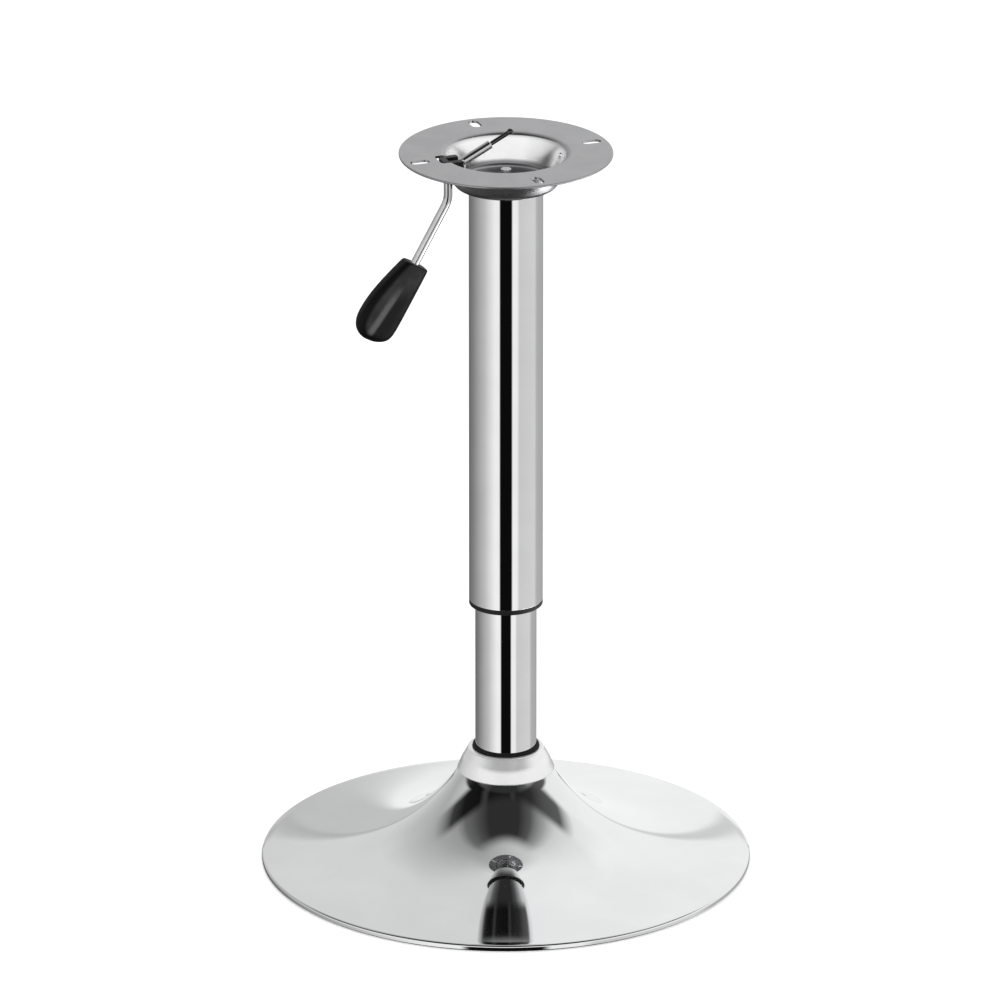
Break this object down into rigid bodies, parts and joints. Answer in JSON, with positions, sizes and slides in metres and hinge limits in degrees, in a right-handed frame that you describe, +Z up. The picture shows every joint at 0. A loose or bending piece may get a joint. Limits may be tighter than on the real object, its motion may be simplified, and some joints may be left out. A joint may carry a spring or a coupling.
{
  "type": "swivel table base",
  "caption": "Height-adjustable swivel base for a small table: chromed trumpet foot, gas-lift column with shroud, bowl mounting plate and hand lever.",
  "frame": {"origin": "on the column's axis at floor level, the centre of the underside's rubber ring", "axes": "+Z up along the column; the release lever points to -X; two mounting slots lie on X and two on Y"},
  "size_m": [0.4, 0.4, 0.6303],
  "materials": {
    "chrome_base": "mirror-bright chrome plate on pressed steel",
    "chrome_collar": "mirror-bright chrome plate on a die casting",
    "chrome_tube": "mirror-bright chrome plate on drawn tube",
    "chrome_lever": "bright plated bar",
    "satin_zinc": "satin zinc plate on pressed steel",
    "bright_steel": "ground or bright-zinc steel",
    "black_paint": "satin black enamel",
    "black_plastic": "moulded, low sheen",
    "handle_plastic": "moulded, fine-grained, satin",
    "black_rubber": "matt moulded rubber"
  },
  "bodies": {
    "base": {"base_shell": "chrome_base", "rim_ring": "black_rubber", "ballast_plate": "black_paint", "taper_socket": "black_paint", "base_collar": "chrome_collar", "collar_seal": "black_rubber", "stand_tube": "chrome_tube", "tube_end_plate": "bright_steel", "lower_race": "bright_steel", "guide_bush": "black_plastic"},
    "cage": {"ball_cage": "bright_steel", "bearing_balls": "bright_steel"},
    "spindle": {"upper_race": "bright_steel", "piston_rod": "bright_steel", "rod_washer": "bright_steel", "rod_clip": "bright_steel", "bump_stop": "black_rubber", "piston": "black_plastic"},
    "column": {"gas_cylinder": "black_paint", "end_guide": "black_plastic", "taper_hub": "satin_zinc", "mounting_plate": "satin_zinc", "shroud_tube": "chrome_tube", "glide_ring": "black_plastic", "centring_ring": "black_plastic", "pivot_bush": "black_plastic", "retaining_washer": "bright_steel", "pivot_pin": "bright_steel"},
    "button": {"release_button": "bright_steel"},
    "lever": {"lever_rod": "chrome_lever", "lever_handle": "handle_plastic"}
  },
  "joints": [
    {"name": "swivel", "type": "hinge", "parent": "base", "child": "spindle", "pos_m": [0, 0, 0.03], "axis": [0, 0, 1], "continuous": true},
    {"name": "cage_roll", "type": "hinge", "parent": "base", "child": "cage", "pos_m": [0, 0, 0.025], "axis": [0, 0, 1], "continuous": true},
    {"name": "height", "type": "slide", "parent": "spindle", "child": "column", "axis": [0, 0, 1], "range_m": [-0.121, 0]},
    {"name": "lever_lift", "type": "hinge", "parent": "column", "child": "lever", "pos_m": [-0.045, 0, 0.603], "axis": [0, 1, 0], "range_deg": [0, 37]},
    {"name": "button_press", "type": "slide", "parent": "column", "child": "button", "axis": [0, 0, 1], "range_m": [-0.005, 0], "stiffness_N_per_m": 200}
  ],
  "couplings": [
    {"joint": "cage_roll", "follows": "swivel", "ratio": 0.5},
    {"joint": "button_press", "follows": "lever_lift", "m_per_rad": -0.00774}
  ]
}
